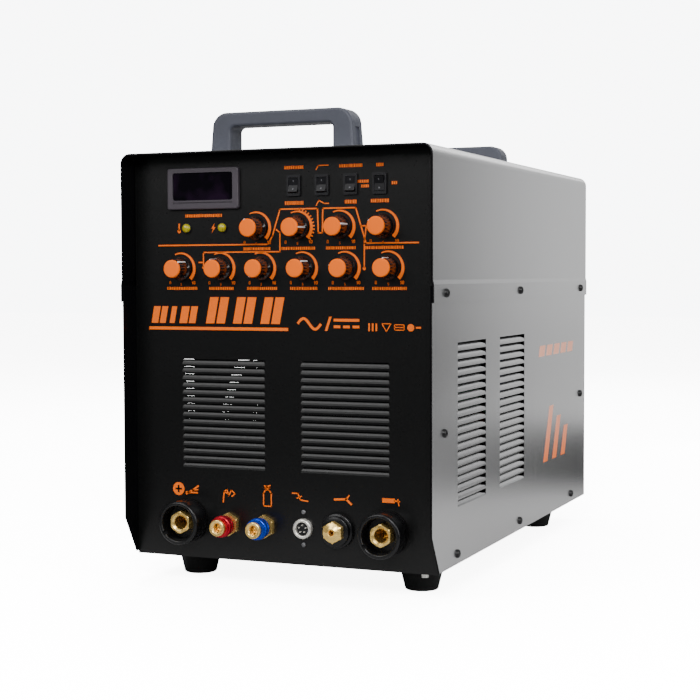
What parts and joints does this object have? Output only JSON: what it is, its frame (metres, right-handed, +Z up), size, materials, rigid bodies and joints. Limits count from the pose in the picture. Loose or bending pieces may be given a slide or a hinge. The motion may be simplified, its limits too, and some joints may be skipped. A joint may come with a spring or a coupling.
{
  "type": "tig welding machine",
  "caption": "Portable inverter welding power source with control knobs, rocker switches, digital meter, welding sockets, hose couplers, rear fan and two carrying handles.",
  "frame": {"origin": "on the floor under the middle of the machine", "axes": "+X to the right seen from the front, +Y from the front to the back, +Z up"},
  "size_m": [0.3296, 0.57, 0.4578],
  "materials": {
    "silver_paint": "satin metallic paint",
    "black_paint": "fine textured powder coat",
    "handle_plastic": "fine moulded grain",
    "foot_rubber": "matte",
    "black_screws": "black zinc plated",
    "zinc_bolts": "zinc plated",
    "bezel_plastic": "satin",
    "window_plastic": "polished, dark tinted",
    "lamp_plastic": "glossy diffuse lens",
    "pot_metal": "plain",
    "switch_frame": "satin",
    "socket_plastic": "semi gloss moulding",
    "brass": "turned, bright",
    "red_anodised": "anodised, gloss",
    "blue_anodised": "anodised, gloss",
    "nickel": "nickel plated",
    "insert_plastic": "satin",
    "fan_plastic": "satin",
    "guard_wire": "bright plated wire",
    "breaker_plastic": "satin",
    "lever_plastic": "satin",
    "gland_plastic": "satin",
    "board_green": "solder mask",
    "sink_aluminium": "extruded",
    "can_sleeve": "shrink sleeve",
    "ferrite": "sintered",
    "copper": "copper",
    "valve_metal": "black enamel",
    "hose_rubber": "smooth",
    "knob_plastic": "satin body",
    "orange_cap": "satin cap of a knob",
    "orange_print": "screen print on the panels",
    "white_print": "pointer lines and rocker marks",
    "rocker_plastic": "satin"
  },
  "bodies": {
    "chassis": {"base_pan": "black_paint", "front_panel": "black_paint", "rear_panel": "black_paint", "right_side_panel": "silver_paint", "left_side_panel": "silver_paint", "top_cover": "silver_paint", "front_handle": "handle_plastic", "rear_handle": "handle_plastic", "rubber_feet": "foot_rubber", "case_screws": "black_screws", "chassis_bolts": "zinc_bolts", "display_bezel": "bezel_plastic", "display_window": "window_plastic", "indicator_lamps": "lamp_plastic", "potentiometers": "pot_metal", "rocker_frames": "switch_frame", "positive_socket_body": "socket_plastic", "negative_socket_body": "socket_plastic", "positive_socket_contact": "brass", "negative_socket_contact": "brass", "red_coupler_body": "brass", "blue_coupler_body": "brass", "control_socket_shell": "nickel", "control_socket_insert": "insert_plastic", "torch_socket_base": "socket_plastic", "torch_socket_fitting": "brass", "fan_frame": "fan_plastic", "fan_guard": "guard_wire", "main_breaker": "breaker_plastic", "cable_gland": "gland_plastic", "gas_inlet": "brass", "control_board": "board_green", "heat_sinks": "sink_aluminium", "power_board": "board_green", "capacitors": "can_sleeve", "transformer_core": "ferrite", "transformer_windings": "copper", "output_reactor": "copper", "hf_unit": "board_green", "gas_solenoid": "valve_metal", "bus_bars": "copper", "gas_hose": "hose_rubber"},
    "knob_1": {"knob_1": "knob_plastic"},
    "knob_2": {"knob_2": "knob_plastic"},
    "knob_3": {"knob_3": "knob_plastic"},
    "knob_4": {"knob_4": "knob_plastic"},
    "knob_5": {"knob_5": "knob_plastic"},
    "knob_6": {"knob_6": "knob_plastic"},
    "knob_7": {"knob_7": "knob_plastic"},
    "knob_8": {"knob_8": "knob_plastic"},
    "knob_9": {"knob_9": "knob_plastic"},
    "knob_10": {"knob_10": "knob_plastic"},
    "rocker_1": {"rocker_1": "rocker_plastic"},
    "rocker_2": {"rocker_2": "rocker_plastic"},
    "rocker_3": {"rocker_3": "rocker_plastic"},
    "rocker_4": {"rocker_4": "rocker_plastic"},
    "breaker_lever": {"breaker_lever": "lever_plastic"},
    "red_coupler_sleeve": {"red_coupler_sleeve": "red_anodised"},
    "blue_coupler_sleeve": {"blue_coupler_sleeve": "blue_anodised"},
    "fan_rotor": {"fan_rotor": "fan_plastic"}
  },
  "joints": [
    {"name": "knob_1_turn", "type": "hinge", "parent": "chassis", "child": "knob_1", "pos_m": [-0.02615, -0.262, 0.3468], "axis": [0, 1, 0], "range_deg": [-120.5, 179.5]},
    {"name": "knob_2_turn", "type": "hinge", "parent": "chassis", "child": "knob_2", "pos_m": [0.0172, -0.262, 0.3468], "axis": [0, 1, 0], "range_deg": [-240, 60]},
    {"name": "knob_3_turn", "type": "hinge", "parent": "chassis", "child": "knob_3", "pos_m": [0.06055, -0.262, 0.3468], "axis": [0, 1, 0], "range_deg": [-225, 75]},
    {"name": "knob_4_turn", "type": "hinge", "parent": "chassis", "child": "knob_4", "pos_m": [0.1039, -0.262, 0.3468], "axis": [0, 1, 0], "range_deg": [-94, 206]},
    {"name": "knob_5_turn", "type": "hinge", "parent": "chassis", "child": "knob_5", "pos_m": [-0.10775, -0.262, 0.3084], "axis": [0, 1, 0], "range_deg": [-195, 105]},
    {"name": "knob_6_turn", "type": "hinge", "parent": "chassis", "child": "knob_6", "pos_m": [-0.0644, -0.262, 0.3084], "axis": [0, 1, 0], "range_deg": [-134, 166]},
    {"name": "knob_7_turn", "type": "hinge", "parent": "chassis", "child": "knob_7", "pos_m": [-0.02105, -0.262, 0.3084], "axis": [0, 1, 0], "range_deg": [0, 300]},
    {"name": "knob_8_turn", "type": "hinge", "parent": "chassis", "child": "knob_8", "pos_m": [0.0223, -0.262, 0.3084], "axis": [0, 1, 0], "range_deg": [-195, 105]},
    {"name": "knob_9_turn", "type": "hinge", "parent": "chassis", "child": "knob_9", "pos_m": [0.06565, -0.262, 0.3084], "axis": [0, 1, 0], "range_deg": [-76, 224]},
    {"name": "knob_10_turn", "type": "hinge", "parent": "chassis", "child": "knob_10", "pos_m": [0.109, -0.262, 0.3084], "axis": [0, 1, 0], "range_deg": [-158, 142]},
    {"name": "rocker_1_tilt", "type": "hinge", "parent": "chassis", "child": "rocker_1", "pos_m": [0.0139, -0.2585, 0.3863], "axis": [1, 0, 0], "range_deg": [0, 20]},
    {"name": "rocker_2_tilt", "type": "hinge", "parent": "chassis", "child": "rocker_2", "pos_m": [0.0429, -0.2585, 0.3863], "axis": [1, 0, 0], "range_deg": [0, 20]},
    {"name": "rocker_3_tilt", "type": "hinge", "parent": "chassis", "child": "rocker_3", "pos_m": [0.0719, -0.2585, 0.3863], "axis": [1, 0, 0], "range_deg": [0, 20]},
    {"name": "rocker_4_tilt", "type": "hinge", "parent": "chassis", "child": "rocker_4", "pos_m": [0.1009, -0.2585, 0.3863], "axis": [1, 0, 0], "range_deg": [-20, 0]},
    {"name": "breaker_throw", "type": "hinge", "parent": "chassis", "child": "breaker_lever", "pos_m": [0.095, 0.268, 0.337], "axis": [1, 0, 0], "range_deg": [0, 70]},
    {"name": "red_sleeve_pull", "type": "slide", "parent": "chassis", "child": "red_coupler_sleeve", "axis": [0, 1, 0], "range_m": [0, 0.0035], "stiffness_N_per_m": 300},
    {"name": "blue_sleeve_pull", "type": "slide", "parent": "chassis", "child": "blue_coupler_sleeve", "axis": [0, 1, 0], "range_m": [0, 0.0035], "stiffness_N_per_m": 300},
    {"name": "fan_spin", "type": "hinge", "parent": "chassis", "child": "fan_rotor", "pos_m": [0, 0.245, 0.114], "axis": [0, 1, 0], "continuous": true}
  ]
}
